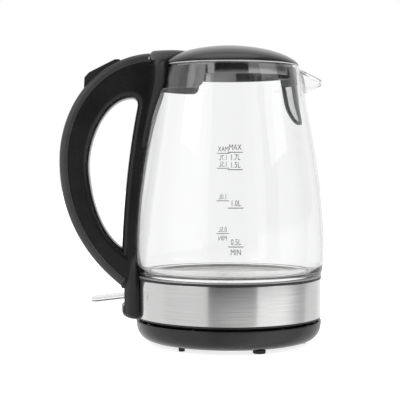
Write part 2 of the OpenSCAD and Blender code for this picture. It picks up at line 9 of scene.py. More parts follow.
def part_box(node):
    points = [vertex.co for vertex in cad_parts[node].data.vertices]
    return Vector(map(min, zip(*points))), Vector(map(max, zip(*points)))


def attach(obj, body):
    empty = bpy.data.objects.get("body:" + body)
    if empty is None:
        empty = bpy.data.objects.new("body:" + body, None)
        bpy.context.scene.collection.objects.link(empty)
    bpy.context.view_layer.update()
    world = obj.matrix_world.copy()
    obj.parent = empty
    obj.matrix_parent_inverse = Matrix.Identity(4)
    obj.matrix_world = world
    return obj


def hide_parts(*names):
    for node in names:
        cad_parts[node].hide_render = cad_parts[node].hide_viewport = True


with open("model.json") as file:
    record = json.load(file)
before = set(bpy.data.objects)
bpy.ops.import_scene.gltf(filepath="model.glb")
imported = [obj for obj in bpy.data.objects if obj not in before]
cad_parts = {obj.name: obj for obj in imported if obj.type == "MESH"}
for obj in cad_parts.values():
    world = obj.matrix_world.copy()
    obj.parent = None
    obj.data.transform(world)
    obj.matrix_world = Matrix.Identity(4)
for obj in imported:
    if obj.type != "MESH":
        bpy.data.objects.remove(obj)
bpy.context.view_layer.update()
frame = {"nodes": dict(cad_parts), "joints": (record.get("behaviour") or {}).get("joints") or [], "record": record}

# Lengths and places below are in millimetres. MM turns them into Blender's metres.
MM = 0.001
NODES = frame["nodes"]


# ---------------------------------------------------------------- places from the frame

def box_mm(node):
    """Lowest and highest corner of a CAD node, in millimetres."""
    low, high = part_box(node)
    return Vector(low) / MM, Vector(high) / MM


GLASS_HIGH = box_mm("glass_body")[1]
BAND_LOW, BAND_HIGH = box_mm("steel_band")
BASE_LOW, BASE_HIGH = box_mm("base_top_shell")
GASKET_LOW, GASKET_HIGH = box_mm("glass_gasket")
HANDLE_LOW = box_mm("handle_body")[0]
COVER_LOW, COVER_HIGH = box_mm("handle_cover")
LID_LOW, LID_HIGH = box_mm("lid_cover")
SKIRT_LOW, SKIRT_HIGH = box_mm("lid_skirt")
JOINTS = {j["name"]: j for j in frame["joints"]}


def joint_mm(name):
    """The point of a hinge joint's axis, in millimetres."""
    return Vector(JOINTS[name]["pos_m"]) / MM


PIN = joint_mm("lid_hinge")
PIVOT = joint_mm("lever_rock")
PRESS = Vector(JOINTS["button_press"]["axis"]).normalized()
CLEAR = 0.3                     # gap between the handle and the glass
PIN_R = 1.5
SCREW_HEAD_R = 3.2
LEVER_SLOT_Z = (33.2, 49.3)     # the switch lever's slot, in the band and in the handle


def thirds(start):
    """Three directions a third of a turn apart, in radians."""
    return [math.radians(start + 120 * k) for k in range(3)]


# ---------------------------------------------------------------- outlines

def bezier(a, b, c, d, n):
    """n + 1 points of a cubic curve in a plane."""
    points = []
    for i in range(n + 1):
        t = i / n
        u = 1 - t
        points.append(tuple(u**3 * p + 3 * u * u * t * q + 3 * u * t * t * r + t**3 * s
                            for p, q, r, s in zip(a, b, c, d)))
    return points


def chain(*curves):
    """Joins curves that share their end points."""
    points = list(curves[0])
    for curve in curves[1:]:
        points += curve[1:]
    return points


def beside(path, distance):
    """The path moved sideways, to the left of its direction."""
    moved = []
    for i, (x, z) in enumerate(path):
        ahead = Vector(path[min(i + 1, len(path) - 1)]) - Vector(path[max(i - 1, 0)])
        ahead.normalize()
        moved.append((x - distance * ahead.y, z + distance * ahead.x))
    return moved


def rounded(points, radii, steps=5):
    """A closed outline with its corners turned into arcs; radii is one number or one for each corner."""
    if not isinstance(radii, (list, tuple)):
        radii = [radii] * len(points)
    outline = []
    count = len(points)
    for i, radius in enumerate(radii):
        corner = Vector(points[i])
        before = Vector(points[i - 1]) - corner
        after = Vector(points[(i + 1) % count]) - corner
        half = before.angle(after) / 2
        cut = min(radius / math.tan(half), 0.49 * before.length, 0.49 * after.length)
        if radius <= 0 or cut < 1e-4:
            outline.append(tuple(corner))
            continue
        radius = cut * math.tan(half)
        middle = (before.normalized() + after.normalized()).normalized()
        centre = corner + middle * (radius / math.sin(half))
        start = corner + before.normalized() * cut - centre
        end = corner + after.normalized() * cut - centre
        turn = start.angle_signed(end)
        for k in range(steps + 1):
            spoke = start.copy()
            spoke.rotate(Matrix.Rotation(-turn * k / steps, 2))
            outline.append(tuple(centre + spoke))
    return outline


def at_height(path, z):
    """The first coordinate of a path at a height, between its points."""
    for (r0, z0), (r1, z1) in zip(path, path[1:]):
        if min(z0, z1) <= z <= max(z0, z1) and z0 != z1:
            return r0 + (r1 - r0) * (z - z0) / (z1 - z0)
    return path[0][0] if z < path[0][1] else path[-1][0]


# The glass: bottom corner, belly and neck
GASKET_TOP = GASKET_HIGH.z
RIM_Z = GLASS_HIGH.z
BELLY_R, BELLY_Z = GLASS_HIGH.y, 76
NECK_R, NECK_Z = 62.2, 201
RIM_R = 57.3
FLANGE_R = 67.3                 # inner edge of the bottom flange
STAND_R = 74.3                  # outer edge of the flat that stands on the seat ring
WALL = 2.5
CORNER = (76.4, GASKET_TOP + 2.4)
GLASS_OUTLINE = chain(
    bezier((STAND_R, GASKET_TOP), (75.4, GASKET_TOP), (76.1, GASKET_TOP + 0.8), CORNER, 6),
    bezier(CORNER, (77.2, 63), (BELLY_R, 68), (BELLY_R, BELLY_Z), 8),
    bezier((BELLY_R, BELLY_Z), (BELLY_R, 118), (70.6, 156.5), (NECK_R, NECK_Z), 40),
    bezier((NECK_R, NECK_Z), (61.6, 208), (60.2, 216), (RIM_R, RIM_Z), 14))

# The handle in the X-Z plane
OUTER_X = COVER_LOW.x
HANDLE_OUTLINE = chain(
    bezier((-66, 236), (-109, 232.2), (OUTER_X, 193.5), (OUTER_X, 149), 40),
    bezier((OUTER_X, 149), (OUTER_X, 111), (-122.6, 75.5), (-88.6, 48), 34))
FINGER_GAP = chain(
    bezier((-79.5, 200), (-98.5, 200), (-114.3, 170), (-114.3, 145), 20),
    bezier((-114.3, 145), (-114.3, 134), (-110, 94), (-87.4, 78), 18),
    bezier((-87.4, 78), (-86.1, 112), (-82.8, 152), (-74.9, 192), 18),
    bezier((-74.9, 192), (-73.8, 197), (-75.5, 200), (-79.5, 200), 8))[:-1]
GRIP_W = COVER_HIGH.y - COVER_LOW.y
COVER_DEPTH = 7.0


# ---------------------------------------------------------------- mesh tools

def link(obj):
    bpy.context.scene.collection.objects.link(obj)
    return obj


def clean(mesh, distance):
    """Merges points closer than a distance in metres, and turns every face outward."""
    build = bmesh.new()
    build.from_mesh(mesh)
    bmesh.ops.remove_doubles(build, verts=build.verts, dist=distance)
    bmesh.ops.recalc_face_normals(build, faces=build.faces)
    build.to_mesh(mesh)
    build.free()


def mesh_object(name, verts, faces):
    """A new object from points in millimetres."""
    mesh = bpy.data.meshes.new(name)
    mesh.from_pydata([(x * MM, y * MM, z * MM) for x, y, z in verts], [], faces)
    clean(mesh, 1e-7)
    return link(bpy.data.objects.new(name, mesh))


def smooth(obj, degrees=32, weighted=False):
    """Smooth shading that stays crisp at edges sharper than the angle."""
    obj.data.shade_smooth()
    obj.data.set_sharp_from_angle(angle=math.radians(degrees))
    if weighted:
        normals = obj.modifiers.new("weighted", "WEIGHTED_NORMAL")
        normals.keep_sharp = True
        normals.weight = 80
    return obj


def applied(obj):
    """Turns an object's modifiers, or a curve, into plain mesh."""
    graph = bpy.context.evaluated_depsgraph_get()
    mesh = bpy.data.meshes.new_from_object(obj.evaluated_get(graph))
    if obj.type == "MESH":
        obj.modifiers.clear()
        obj.data = mesh
        return obj
    name = obj.name
    bpy.data.objects.remove(obj)
    return link(bpy.data.objects.new(name, mesh))


def boolean(obj, other, operation="DIFFERENCE"):
    """Cuts other out of obj, or joins it, and removes other."""
    modifier = obj.modifiers.new("boolean", "BOOLEAN")
    modifier.operation = operation
    modifier.object = other
    modifier.solver = "MANIFOLD"
    applied(obj)
    bpy.data.objects.remove(other)
    return obj


def lathe(name, profile, turns=192, centre=(0, 0)):
    """A closed profile of (radius, z) turned round the vertical line through centre."""
    verts, rings = [], []
    for r, z in profile:
        if r < 1e-6:
            rings.append([len(verts)] * turns)
            verts.append((centre[0], centre[1], z))
            continue
        rings.append(list(range(len(verts), len(verts) + turns)))
        for i in range(turns):
            a = 2 * math.pi * i / turns
            verts.append((centre[0] + r * math.cos(a), centre[1] + r * math.sin(a), z))
    faces = []
    for k, ring in enumerate(rings):
        following = rings[(k + 1) % len(rings)]
        for i in range(turns):
            j = (i + 1) % turns
            corners = list(dict.fromkeys((ring[i], ring[j], following[j], following[i])))
            if len(corners) > 2:
                faces.append(corners)
    return mesh_object(name, verts, faces)


def loft(name, sections, closed=False):
    """A skin over closed loops of points, with flat ends unless the row of loops is closed."""
    size = len(sections[0])
    verts = [point for section in sections for point in section]
    faces = []
    for k in range(len(sections) - (0 if closed else 1)):
        a, b = k * size, (k + 1) % len(sections) * size
        for i in range(size):
            j = (i + 1) % size
            faces.append((a + i, a + j, b + j, b + i))
    if not closed:
        faces += [tuple(range(size)), tuple(range(len(verts) - size, len(verts)))]
    return mesh_object(name, verts, faces)


def slab(name, loops, low, high, edge, plane="XZ", steps=4):
    """Outlines with holes, made solid from low to high across their plane, with rounded edges."""
    data = bpy.data.curves.new(name, "CURVE")
    data.dimensions = "2D"
    data.fill_mode = "BOTH"
    data.extrude = (high - low) / 2 * MM - edge * MM
    data.bevel_depth = edge * MM
    data.offset = -edge * MM
    data.bevel_resolution = steps
    for points in loops:
        spline = data.splines.new("POLY")
        spline.points.add(len(points) - 1)
        for point, (x, y) in zip(spline.points, points):
            point.co = (x * MM, y * MM, 0, 1)
        spline.use_cyclic_u = True
    obj = applied(link(bpy.data.objects.new(name, data)))
    middle = (low + high) / 2 * MM
    if plane == "XZ":
        obj.data.transform(Matrix(((1, 0, 0, 0), (0, 0, -1, middle), (0, 1, 0, 0), (0, 0, 0, 1))))
    else:
        obj.data.transform(Matrix.Translation((0, 0, middle)))
    clean(obj.data, 2e-6)
    return obj


def prism(loop, span, plane="XZ"):
    """An outline made solid across its plane, with sharp edges, for cutting."""
    if plane == "XZ":
        return loft("cutter", [[(x, y, z) for x, z in loop] for y in span])
    return loft("cutter", [[(x, y, z) for y, z in loop] for x in span])


def block(x, y, z):
    """A box for cutting, from three (low, high) pairs."""
    corners = [(i, j, k) for k in z for j in y for i in x]
    faces = [(0, 2, 3, 1), (4, 5, 7, 6), (0, 1, 5, 4), (2, 6, 7, 3), (0, 4, 6, 2), (1, 3, 7, 5)]
    return mesh_object("cutter", corners, faces)


def rod(centre, axis, radius, length, turns=48):
    """A round bar for cutting, centred on a point."""
    half = length / 2
    obj = lathe("cutter", [(0, -half), (radius, -half), (radius, half), (0, half)], turns)
    turn = Vector((0, 0, 1)).rotation_difference(Vector(axis)).to_matrix().to_4x4()
    obj.data.transform(Matrix.Translation(Vector(centre) * MM) @ turn)
    return obj


def joined(name, parts):
    """Several meshes made into one object."""
    build = bmesh.new()
    for part in parts:
        build.from_mesh(part.data)
        bpy.data.objects.remove(part)
    mesh = bpy.data.meshes.new(name)
    build.to_mesh(mesh)
    build.free()
    return link(bpy.data.objects.new(name, mesh))


def tube(name, path, radius, sides=10):
    """A round wire along a path of points in millimetres, with closed ends."""
    sections = []
    normal = None
    for i, point in enumerate(path):
        ahead = (Vector(path[min(i + 1, len(path) - 1)]) - Vector(path[max(i - 1, 0)])).normalized()
        if normal is None:
            normal = ahead.orthogonal().normalized()
        normal = (normal - ahead * normal.dot(ahead)).normalized()
        across = ahead.cross(normal)
        sections.append([tuple(Vector(point) + radius * (math.cos(a) * normal + math.sin(a) * across))
                         for a in (2 * math.pi * k / sides for k in range(sides))])
    return loft(name, sections)


# ---------------------------------------------------------------- materials

class Tree:
    """Short forms for adding nodes to a tree."""

    def __init__(self, tree):
        self.tree = tree

    def add(self, kind, inputs=(), **settings):
        node = self.tree.nodes.new("ShaderNode" + kind)
        for key, value in settings.items():
            setattr(node, key, value)
        for socket, value in dict(inputs).items():
            self.put(node.inputs[socket], value)
        return node

    def put(self, socket, value):
        if isinstance(value, bpy.types.NodeSocket):
            self.tree.links.new(value, socket)
        else:
            socket.default_value = value

    def math(self, operation, a, b=0.0):
        return self.add("Math", {0: a, 1: b}, operation=operation).outputs[0]

    def spread(self, value, low, high, start=0.35, end=0.65, **settings):
        """Maps start..end to low..high."""
        node = self.add("MapRange", {"Value": value, "From Min": start, "From Max": end,
                                     "To Min": low, "To Max": high}, **settings)
        return node.outputs["Result"]


class Nodes(Tree):
    """The nodes of a new material."""

    def __init__(self, name):
        self.material = bpy.data.materials.new(name)
        self.material.use_nodes = True
        super().__init__(self.material.node_tree)
        self.shader = self.tree.nodes["Principled BSDF"]
        self.coords = self.add("TexCoord").outputs["Object"]

    def set(self, **values):
        for key, value in values.items():
            self.put(self.shader.inputs[key.replace("_", " ")], value)

    def noise(self, scale, detail=3, vector=None, roughness=0.5):
        node = self.add("TexNoise", {"Vector": vector or self.coords, "Scale": scale,
                                     "Detail": detail, "Roughness": roughness})
        return node.outputs["Fac"]

    def mix(self, factor, a, b):
        node = self.add("Mix", {"Factor": factor}, data_type="RGBA")
        self.put(node.inputs["A"], a)
        self.put(node.inputs["B"], b)
        return node.outputs["Result"]

    def bump(self, height, strength, distance):
        inputs = {"Height": height, "Strength": strength, "Distance": distance}
        return self.add("Bump", inputs).outputs["Normal"]

    def around(self, turn_scale, height_scale, radius_scale):
        """Coordinates that run round the vertical axis, for brushing."""
        x, y, z = self.add("SeparateXYZ", {0: self.coords}).outputs
        turn = self.math("ARCTAN2", y, x)
        radius = self.math("SQRT", self.math("ADD", self.math("MULTIPLY", x, x), self.math("MULTIPLY", y, y)))
        scaled = (self.math("MULTIPLY", part, scale) for part, scale in
                  ((turn, turn_scale), (z, height_scale), (radius, radius_scale)))
        return self.add("CombineXYZ", dict(zip("XYZ", scaled))).outputs[0]


def tinted(colour, factor=1.0, lift=0.0):
    """A colour with its alpha, scaled and lifted."""
    return tuple(min(1, c * factor + lift) for c in colour) + (1,)


def plastic(name, colour, rough, grain=0.12):
    """Moulded plastic: spark-eroded grain, uneven gloss and faint scuffs."""
    n = Nodes(name)
    fine = n.noise(3200, 2)
    broad = n.noise(45, 4)
    scratch = n.noise(260, 6, n.add("Mapping", {"Vector": n.coords, "Scale": (1, 7, 1)}).outputs[0], 0.65)
    scuffs = n.spread(scratch, 0.0, 0.08, 0.58, 0.75)
    gloss = n.spread(broad, rough * 0.86, rough * 1.14)
    n.set(Base_Color=n.mix(n.spread(broad, 0.0, 0.35), tinted(colour), tinted(colour, 1.5, 0.004)),
          Roughness=n.math("ADD", gloss, scuffs), Normal=n.bump(fine, grain, 0.00006), IOR=1.5)
    return n.material


def rubber(name, colour, rough=0.75):
    """Matt rubber or soft plastic with a fine, uneven surface."""
    n = Nodes(name)
    n.set(Base_Color=n.mix(n.spread(n.noise(120, 5), 0, 0.5), tinted(colour), tinted(colour, 1.6, 0.01)),
          Roughness=n.spread(n.noise(300, 3), rough - 0.1, rough + 0.1),
          Normal=n.bump(n.noise(1800, 3), 0.25, 0.0001), IOR=1.45)
    return n.material


def metal(name, colour, rough, scale=900, strength=0.08):
    """Rolled or plated metal with fine marks."""
    n = Nodes(name)
    fine = n.noise(scale, 4)
    n.set(Base_Color=n.mix(n.spread(n.noise(60, 5), 0, 0.6), tinted(colour), tinted(colour, 0.82)),
          Metallic=1.0, Roughness=n.spread(n.noise(140, 5), rough * 0.75, rough * 1.3),
          Normal=n.bump(fine, strength, 0.00004))
    return n.material


def brushed(name, colour, rough, turn_scale, height_scale, radius_scale, anisotropy, streak=0.9):
    """Steel brushed round the vertical axis. Its darkest lines have the share streak of its colour."""
    n = Nodes(name)
    lines = n.add("TexNoise", {"Vector": n.around(turn_scale, height_scale, radius_scale), "Scale": 1.0,
                               "Detail": 4, "Roughness": 0.62}).outputs["Fac"]
    broad = n.noise(35, 4)
    tangent = n.add("Tangent", direction_type="RADIAL", axis="Z").outputs[0]
    shade = n.mix(n.spread(lines, 0.0, 1.0, 0.3, 0.7), tinted(colour), tinted(colour, streak))
    n.set(Base_Color=shade, Metallic=1.0, Tangent=tangent, Anisotropic=anisotropy, Anisotropic_Rotation=0.25,
          Roughness=n.math("ADD", n.spread(lines, rough * 0.8, rough * 1.25), n.spread(broad, -0.02, 0.03)),
          Normal=n.bump(lines, 0.06, 0.00005))
    return n.material


def clear(name, colour, ior, rough, ripple=0.0):
    """Clear glass or plastic, with a faint ripple in its surface if asked."""
    n = Nodes(name)
    n.set(Base_Color=tinted(colour), Transmission_Weight=1.0, IOR=ior,
          Roughness=n.spread(n.noise(70, 4), rough * 0.5, rough * 1.5))
    if ripple:
        n.set(Normal=n.bump(n.noise(22, 2), ripple, 0.0004))
    return n.material


def translucent_silicone(name):
    n = Nodes(name)
    n.set(Base_Color=(0.88, 0.89, 0.88, 1), Transmission_Weight=0.25, IOR=1.41,
          Roughness=n.spread(n.noise(200, 4), 0.35, 0.55), Normal=n.bump(n.noise(700, 3), 0.1, 0.0001))
    return n.material


def mark_ink(name, tone):
    """Printed grey ink, a little uneven."""
    n = Nodes(name)
    grey = (tone, tone, tone)
    n.set(Base_Color=n.mix(n.spread(n.noise(900, 4), 0, 1), tinted(grey), tinted(grey, 2)),
          Roughness=n.spread(n.noise(400, 3), 0.45, 0.65))
    return n.material


def seal_with_painted_reflection():
    """The jug's seat ring: black along its outer edge, and pale and metallic where it lies under the glass. The
    pale part is painted reflection, for the light that the glass's underside mirrors there, because a matt face
    behind glass renders too dark."""
    n = Nodes("seat_seal_painted_reflection")
    flat = n.add("VectorMath", {0: n.coords, 1: (1, 1, 0)}, operation="MULTIPLY").outputs[0]
    radius = n.add("VectorMath", {0: flat}, operation="LENGTH").outputs["Value"]
    height = n.add("SeparateXYZ", {0: n.coords}).outputs["Z"]
    outer = n.spread(radius, 0.0, 1.0, 0.0743, 0.0747)
    low = n.spread(height, 1.0, 0.0, (GASKET_TOP - 0.9) * MM, (GASKET_TOP - 0.5) * MM)
    black = n.math("MULTIPLY", outer, low)
    n.set(Base_Color=n.mix(black, (0.72, 0.72, 0.71, 1), (0.02, 0.02, 0.021, 1)),
          Metallic=n.math("SUBTRACT", 0.9, n.math("MULTIPLY", black, 0.9)),
          Roughness=n.spread(n.noise(300, 3), 0.4, 0.6), Normal=n.bump(n.noise(1800, 3), 0.2, 0.0001), IOR=1.45)
    return n.material


# One material for each slot of the record
MATERIALS = {name: make(name, *values) for name, make, *values in (
    ("black_plastic", plastic, (0.014, 0.014, 0.0145), 0.24),
    ("handle_plastic", plastic, (0.006, 0.006, 0.0062), 0.25, 0.2),
    ("lid_plastic", plastic, (0.010, 0.010, 0.0105), 0.2),
    ("button_plastic", plastic, (0.009, 0.009, 0.0095), 0.42, 0.25),
    ("inner_plastic", plastic, (0.62, 0.60, 0.55), 0.5),
    ("filter_plastic", plastic, (0.22, 0.22, 0.225), 0.45),
    ("rubber_feet", rubber, (0.022, 0.022, 0.022)),
    ("pad_plastic", rubber, (0.15, 0.15, 0.15), 0.6),
    ("black_silicone", rubber, (0.02, 0.02, 0.021), 0.5),
    ("wire_insulation", rubber, (0.45, 0.4, 0.33), 0.55),
    ("zinc_steel", metal, (0.62, 0.62, 0.63), 0.3),
    ("spring_steel", metal, (0.5, 0.5, 0.51), 0.3),
    ("brass", metal, (0.72, 0.52, 0.22), 0.28),
    ("bimetal", metal, (0.55, 0.43, 0.28), 0.35),
    ("aluminium", metal, (0.7, 0.7, 0.71), 0.45, 500, 0.2),
    ("element_sheath", metal, (0.42, 0.41, 0.4), 0.5, 700, 0.2),
    ("brushed_steel", brushed, (0.93, 0.93, 0.925), 0.20, 1.6, 4200, 0, 0.85, 0.8),
    ("plate_steel", brushed, (0.86, 0.86, 0.85), 0.22, 0.8, 0, 3800, 0.6),
    ("polished_steel", brushed, (0.40, 0.40, 0.40), 0.08, 2.0, 2600, 0, 0.5),
    ("clear_glass", clear, (0.992, 0.997, 0.994), 1.47, 0.01, 0.05),
    ("clear_plastic", clear, (0.97, 0.975, 0.975), 1.46, 0.08, 0.1),
    ("led_lens", clear, (0.8, 0.88, 0.96), 1.5, 0.1),
    ("filter_gauze", metal, (0.85, 0.85, 0.85), 0.35),
    ("clear_silicone", translucent_silicone),
)}

# Materials of single pieces that look different from the rest of their slot, through painted light, shade and
# reflection
# The far marks' ink is paler than the near marks': painted light, for print seen faintly through two walls of
# glass
INKS = {"near_marks": mark_ink("mark_ink", 0.05), "far_marks": mark_ink("mark_ink_painted_light", 0.17)}
# The seat ring's material: black, with painted reflection in its pale inner part
SEAT_SEAL_PAINTED_REFLECTION = seal_with_painted_reflection()
# The handle's plastic made lighter for the cover: painted light on the outer strip, which faces the light
COVER_PAINTED_LIGHT = plastic("cover_plastic_painted_light", (0.028, 0.028, 0.029), 0.32, 0.2)
# The lid's plastic made lighter for the hinge cap: painted light, for the light band along its rounded lower edge
CAP_PAINTED_LIGHT = plastic("cap_plastic_painted_light", (0.085, 0.085, 0.086), 0.3, 0.2)
# The polished steel made darker, with fainter lines, for the neck strap: painted shade
NECK_STEEL_PAINTED_SHADE = brushed("neck_steel_painted_shade", (0.115, 0.115, 0.117), 0.14, 16, 6, 0, 0.5, 0.3)


def finish_piece(obj, body, slot_name, *replaced, material=None):
    """Gives a piece its material, its body and the CAD nodes it stands for."""
    obj.data.materials.clear()
    obj.data.materials.append(material or MATERIALS[slot_name])
    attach(obj, body)
    if replaced:
        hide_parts(*replaced)
    return obj


def paint_cad_nodes():
    """Every CAD node takes its slot's material, and the plate seal then takes the seat ring's."""
    for row in frame["record"]["subparts"]:
        node = NODES[row["node"]]
        node.data.materials.clear()
        node.data.materials.append(MATERIALS[row["material_slot"]])
    # The plate seal takes the seat ring's material, whose pale part is painted reflection
    NODES["plate_seal"].data.materials[0] = SEAT_SEAL_PAINTED_REFLECTION


# ---------------------------------------------------------------- glass jug

SPOUT_X = 76.0                  # tip of the spout
SPOUT_Z = 214.5
SPOUT_ROOT_X = 50.0
SPOUT_OUTER_R = (15.1, 3.8)     # outer radius at the root and at the tip
SPOUT_BORE_R = (12.9, 2.3)
SPOUT_WALL = 1.5                # least wall, also at the tip
SPOUT_FILLET = 7
SPOUT_CUT = (56.0, 225.3)       # where the spout's open top starts
SPOUT_CUT_SLOPE = math.tan(math.radians(26.7))
NECK_START = 194.0
LIP_H = 0.9                     # height of the rim's rounding


def smooth_max(a, b, width):
    """The larger of two radii, with a fillet between them."""
    near = max(width - abs(a - b), 0) / width
    return max(a, b) + near**3 * width / 6


def cone_reach(turn, z, root_r, tip_r, tip_x):
    """How far from the axis the spout's cone reaches in one direction, or 0."""
    k = (root_r - tip_r) / (tip_x - SPOUT_ROOT_X)
    c, s, h = math.cos(turn), math.sin(turn), z - SPOUT_Z
    if c <= 0 or abs(h) > root_r:
        return 0.0
    total = root_r + k * SPOUT_ROOT_X
    a2, a1, a0 = k * k * c * c - s * s, -2 * total * k * c, total * total - h * h
    if abs(a2) < 1e-9:
        return -a0 / a1
    under = a1 * a1 - 4 * a2 * a0
    if under < 0:
        return 0.0
    roots = [(-a1 + sign * math.sqrt(under)) / (2 * a2) for sign in (-1, 1)]
    good = [r for r in roots if r > 0 and total - k * r * c >= 0]
    return min(min(good), tip_x / c) if good else 0.0


def outside_r(turn, z):
    return smooth_max(at_height(GLASS_OUTLINE, z), cone_reach(turn, z, *SPOUT_OUTER_R, SPOUT_X), SPOUT_FILLET)


def inside_r(turn, z):
    bore = cone_reach(turn, z, *SPOUT_BORE_R, SPOUT_X - SPOUT_WALL)
    inner = smooth_max(at_height(GLASS_OUTLINE, z) - WALL, bore, SPOUT_FILLET)
    return min(inner, outside_r(turn, z) - SPOUT_WALL)


def rim_height(turn):
    """Where the rim runs in one direction: level, and down along the cut to the spout's tip."""
    z = RIM_Z
    while z > SPOUT_CUT[1] - SPOUT_CUT_SLOPE * (outside_r(turn, z) * math.cos(turn) - SPOUT_CUT[0]):
        z -= 0.05
    return z


def glass_body():
    """One closed loop of points for each direction, closer together near the spout."""
    fine, coarse, half = 0.6, 2.0, 36.0
    turns = [math.radians(-half + fine * i) for i in range(int(2 * half / fine))]
    turns += [math.radians(half + coarse * i) for i in range(int((360 - 2 * half) / coarse))]
    rims = [rim_height(a) for a in turns]
    for _ in range(6):
        rims = [(rims[i - 1] + 2 * rims[i] + rims[(i + 1) % len(rims)]) / 4 for i in range(len(rims))]
    foot = [(FLANGE_R, GASKET_TOP)]
    lower = [p for p in GLASS_OUTLINE if p[1] < NECK_START]
    lower_in = [(r - WALL, z) for r, z in lower if z > GASKET_TOP + 6]
    foot_in = [(73.6, GASKET_TOP + 4.7), (72.8, GASKET_TOP + 3.2), (71.4, GASKET_TOP + WALL),
               (FLANGE_R, GASKET_TOP + WALL)]
    rows = 24
    sections = []
    for turn, rim in zip(turns, rims):
        heights = [NECK_START + (rim - NECK_START) * i / rows for i in range(rows + 1)]
        outer = [(outside_r(turn, z), z) for z in heights]
        inner = [(inside_r(turn, z), z) for z in heights]
        r_out, r_in = outer[-1][0], inner[-1][0]
        half_wall = (r_out - r_in) / 2
        lip = [((r_out + r_in) / 2 + half_wall * math.cos(a), rim + LIP_H * math.sin(a) - LIP_H)
               for a in (math.pi * i / 6 for i in range(1, 6))]
        outer[-1] = (r_out, rim - LIP_H)
        inner[-1] = (r_in, rim - LIP_H)
        section = foot + lower + outer + lip + inner[::-1] + lower_in[::-1] + foot_in
        sections.append([(r * math.cos(turn), r * math.sin(turn), z) for r, z in section])
    glass = smooth(loft("glass_jug", sections, closed=True), 50)
    finish_piece(glass, "jug", "clear_glass", "glass_body")


def glass_solid(grow):
    """The whole space inside the glass's outer surface, for cutting."""
    profile = [(0, GASKET_TOP - 1), (67, GASKET_TOP - 1)]
    profile += [(r + grow, z) for r, z in GLASS_OUTLINE]
    return lathe("cutter", profile + [(RIM_R + grow, RIM_Z + 3), (0, RIM_Z + 3)], 160)


def mark_on_glass(obj, side, thickness=0.08):
    """Wraps flat artwork (x across, y up, in millimetres) round the glass at one side, -1 or 1."""
    for vertex in obj.data.vertices:
        across, up, out = vertex.co / MM
        radius = at_height(GLASS_OUTLINE, up) + 0.03 + (thickness if out > 0 else 0)
        turn = math.radians(90 * side) + across / radius
        vertex.co = Vector((radius * math.cos(turn), radius * math.sin(turn), up)) * MM
    return obj


# Height of a line, its words, and how far above the line they stand
MARKS = ((155.8, "MAX", 1.7), (155.8, "1.7L", -5.9), (142.6, "1.5L", 1.5), (113.6, "1.0L", 1.5),
         (84.3, "0.5L", 1.5), (84.3, "MIN", -6.2))
MARK_FONT = 4.6 * 1.38          # type size for letters 4.6 mm high
MARK_NARROW = 0.72              # the letters are drawn narrower than the font's
MARK_LINE = (11.5, 0.6)         # length and thickness of a line
MARK_DEPTH = 0.02               # half the thickness of the flat artwork


def mark_words(words, height):
    data = bpy.data.curves.new("words", "FONT")
    data.body = words
    data.align_x = "CENTER"
    data.size = MARK_FONT * MM
    data.extrude = MARK_DEPTH * MM
    data.resolution_u = 3
    obj = applied(link(bpy.data.objects.new("words", data)))
    obj.data.transform(Matrix.Translation((0, height * MM, 0)) @ Matrix.Diagonal((MARK_NARROW, 1, 1, 1)))
    return obj


def mark_line(height, steps=8):
    length, thick = MARK_LINE
    xs = [length * (i / steps - 0.5) for i in range(steps + 1)]
    ring = [(x, height + thick / 2) for x in xs] + [(x, height - thick / 2) for x in xs[::-1]]
    return loft("line", [[(x, y, z) for x, y in ring] for z in (-MARK_DEPTH, MARK_DEPTH)])


def scale_marks():
    """The printed volume scale on both sides of the glass."""
    for side, name in ((-1, "near_marks"), (1, "far_marks")):
        parts = [mark_words(words, height + rise) for height, words, rise in MARKS]
        parts += [mark_line(height) for height in sorted({row[0] for row in MARKS})]
        marks = mark_on_glass(joined(name, parts), side)
        finish_piece(marks, "jug", "black_silicone", material=INKS[name])


# ---------------------------------------------------------------- power base and jug bottom

BASE_DECK_Z = 14.0
BASE_WALL = 2.2
CORD_HOLE = (74, 0, 8.2)
FOOT_RING_R = 61
FEET = (("base_feet_large", "rubber_feet_large", 5, -71), ("base_feet_small", "rubber_feet_small", 2.5, -11))


def base_shell():
    """The bowl with its rim, the deck up to the connector post, and the hole for the cord."""
    low, rim, deck, radius = BASE_LOW.z, BASE_HIGH.z, BASE_DECK_Z, BASE_HIGH.x
    floor = low + BASE_WALL
    bowl = bezier((62, low), (70.5, low), (radius - 0.2, 8.5), (radius, rim - 0.8), 24)
    edge = bezier((radius, rim - 0.8), (radius, rim), (radius - 0.3, rim), (radius - 0.9, rim), 5)
    top = [(radius - 1.6, rim), (radius - 2.3, rim - 0.5), (radius - 2.9, deck + 0.8), (radius - 3.8, deck),
           (44, deck), (43, deck - 0.5), (42, deck), (20, deck), (19, deck + 0.6), (13.9, deck + 0.6),
           (13.6, deck + 0.2), (13.6, deck - 2)]
    inside = bezier((radius - 3, deck - 2), (radius - 3.6, 8.8), (68, floor), (61, floor), 10)
    shell = lathe("base_bowl", chain(bowl, edge) + top + inside + [(55.7, floor), (55.7, low)], 224)
    boolean(shell, rod(CORD_HOLE, (1, 0, 0), 3.2, 22))
    finish_piece(smooth(shell, 40), "power_base", "black_plastic", "base_top_shell")


def feet():
    for node, name, radius, start in FEET:
        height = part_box(node)[1][2] / MM
        profile = rounded([(0, 0), (radius, 0), (radius, height), (0, height)], [0, 0.6, 0.3, 0])
        parts = [lathe("foot", profile, 40, (FOOT_RING_R * math.cos(a), FOOT_RING_R * math.sin(a)))
                 for a in thirds(start)]
        finish_piece(smooth(joined(name, parts), 40), "power_base", "rubber_feet", node)


